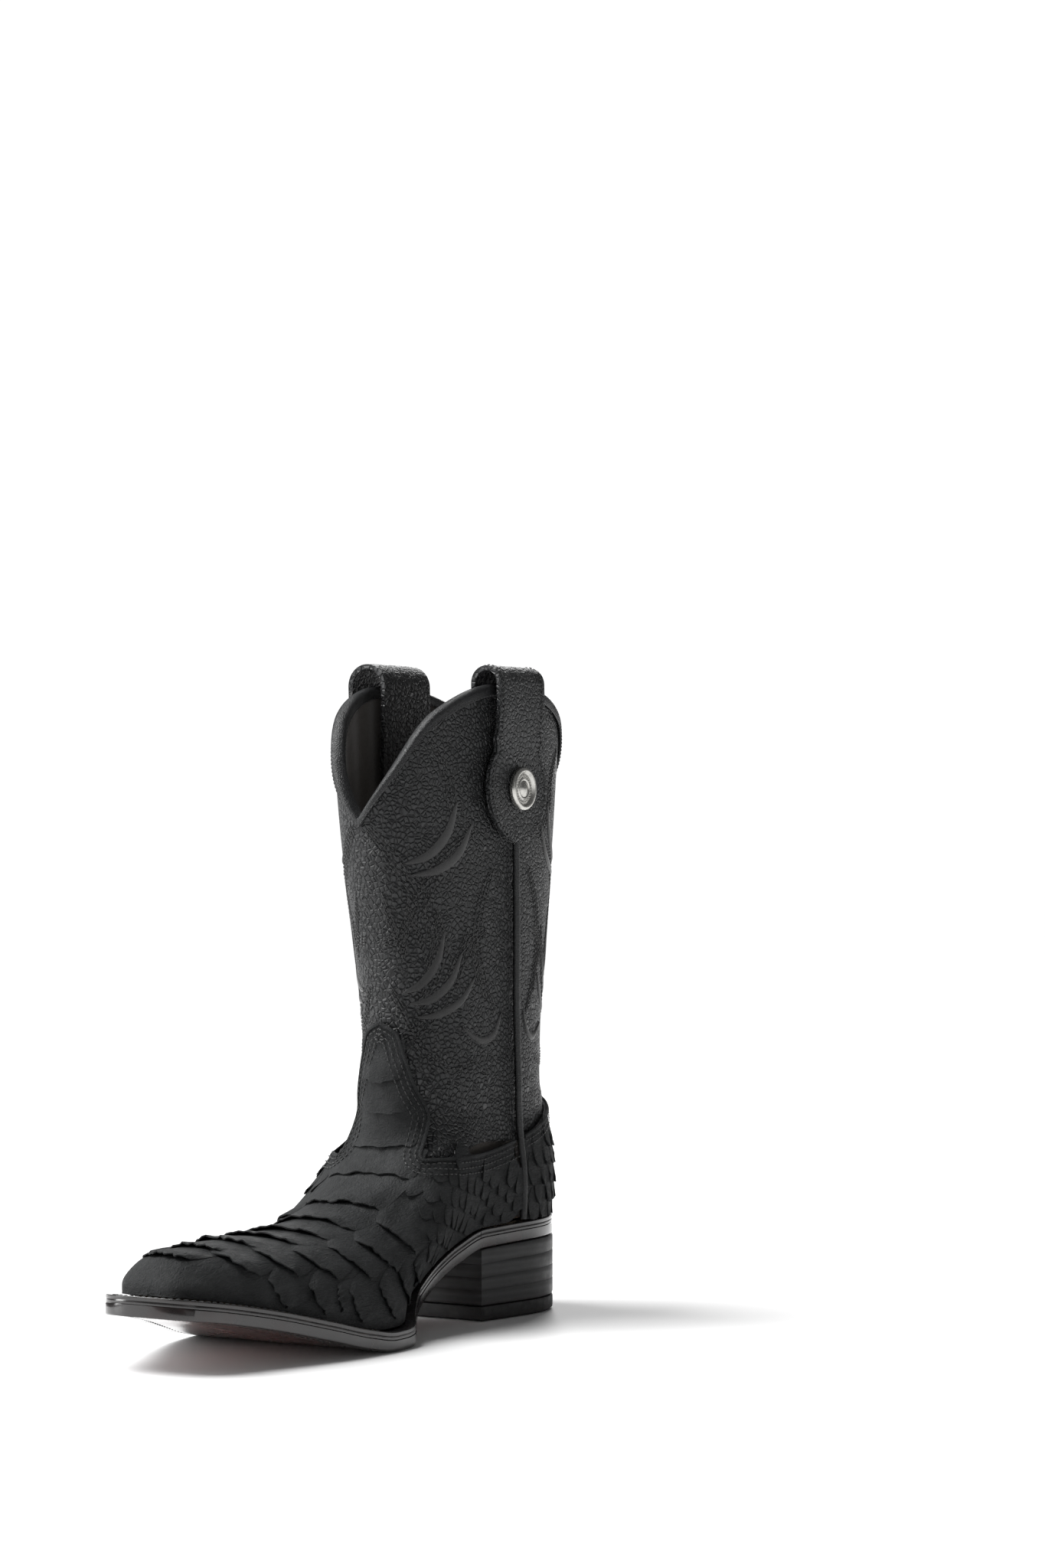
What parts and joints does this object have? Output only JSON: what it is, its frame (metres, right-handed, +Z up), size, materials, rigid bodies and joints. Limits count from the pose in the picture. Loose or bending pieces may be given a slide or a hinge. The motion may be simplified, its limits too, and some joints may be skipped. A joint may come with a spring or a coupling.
{
  "type": "cowboy boot",
  "caption": "Right-foot western boot with a square toe, scaled hide vamp and counter, stitched leather shaft, pull straps, pegged waist and stacked heel.",
  "frame": {"origin": "centre of the heel tread, on the ground", "axes": "+Z up along the shaft, -Y towards the toe, +X towards the wearer's inner (medial) side"},
  "size_m": [0.1059, 0.3086, 0.2987],
  "materials": {
    "scaled_hide": "matte black hide with raised overlapping scales",
    "shaft_leather": "soft pebbled black leather with tone-on-tone embroidery",
    "strap_leather": "pebbled black leather, satin",
    "binding_leather": "smooth glossy black leather",
    "lining": "matte taupe suede",
    "sole_leather": "burnished glossy oxblood sole leather",
    "edge_black": "glossy blackened edge",
    "heel_stack": "blackened stacked leather, satin",
    "heel_rubber": "dark grey ribbed rubber",
    "fibre_board": "plain leather board",
    "cork": "ground cork",
    "peg_wood": "stained hardwood",
    "steel": "plain nail steel",
    "silver": "antique silver, darkened in the recesses"
  },
  "bodies": {
    "root": {"outsole": "sole_leather", "welt": "edge_black", "heel_rand": "edge_black", "insole": "fibre_board", "sock_liner": "lining", "shank": "steel", "cork_filler": "cork", "heel_block": "heel_stack", "heel_cap": "heel_rubber", "vamp": "scaled_hide", "counter": "scaled_hide", "toe_stiffener": "fibre_board", "counter_stiffener": "fibre_board", "shaft_front": "shaft_leather", "shaft_back": "shaft_leather", "vamp_lining": "lining", "heel_lining": "lining", "shaft_lining_front": "lining", "shaft_lining_back": "lining", "top_binding": "binding_leather", "side_piping_medial": "binding_leather", "side_piping_lateral": "binding_leather", "strap_outer_medial": "strap_leather", "strap_inner_medial": "strap_leather", "concho_medial": "silver", "strap_outer_lateral": "strap_leather", "strap_inner_lateral": "strap_leather", "concho_lateral": "silver", "heel_nail_1": "steel", "heel_nail_2": "steel", "heel_nail_3": "steel", "heel_nail_4": "steel", "heel_nail_5": "steel", "heel_nail_6": "steel", "heel_nail_7": "steel", "waist_peg_medial_1": "peg_wood", "waist_peg_medial_2": "peg_wood", "waist_peg_medial_3": "peg_wood", "waist_peg_medial_4": "peg_wood", "waist_peg_medial_5": "peg_wood", "waist_peg_medial_6": "peg_wood", "waist_peg_medial_7": "peg_wood", "waist_peg_lateral_1": "peg_wood", "waist_peg_lateral_2": "peg_wood", "waist_peg_lateral_3": "peg_wood", "waist_peg_lateral_4": "peg_wood", "waist_peg_lateral_5": "peg_wood", "waist_peg_lateral_6": "peg_wood"},
    "loop_medial": {"pull_loop_medial": "strap_leather"},
    "loop_lateral": {"pull_loop_lateral": "strap_leather"}
  },
  "joints": [
    {"name": "strap_tilt_medial", "type": "hinge", "parent": "root", "child": "loop_medial", "pos_m": [0.0329, -0.0195, 0.2905], "axis": [0, 1, 0], "range_deg": [-22, 22], "stiffness_Nm_per_rad": 0.005},
    {"name": "strap_tilt_lateral", "type": "hinge", "parent": "root", "child": "loop_lateral", "pos_m": [-0.0329, -0.0195, 0.2905], "axis": [0, 1, 0], "range_deg": [-22, 22], "stiffness_Nm_per_rad": 0.005}
  ]
}
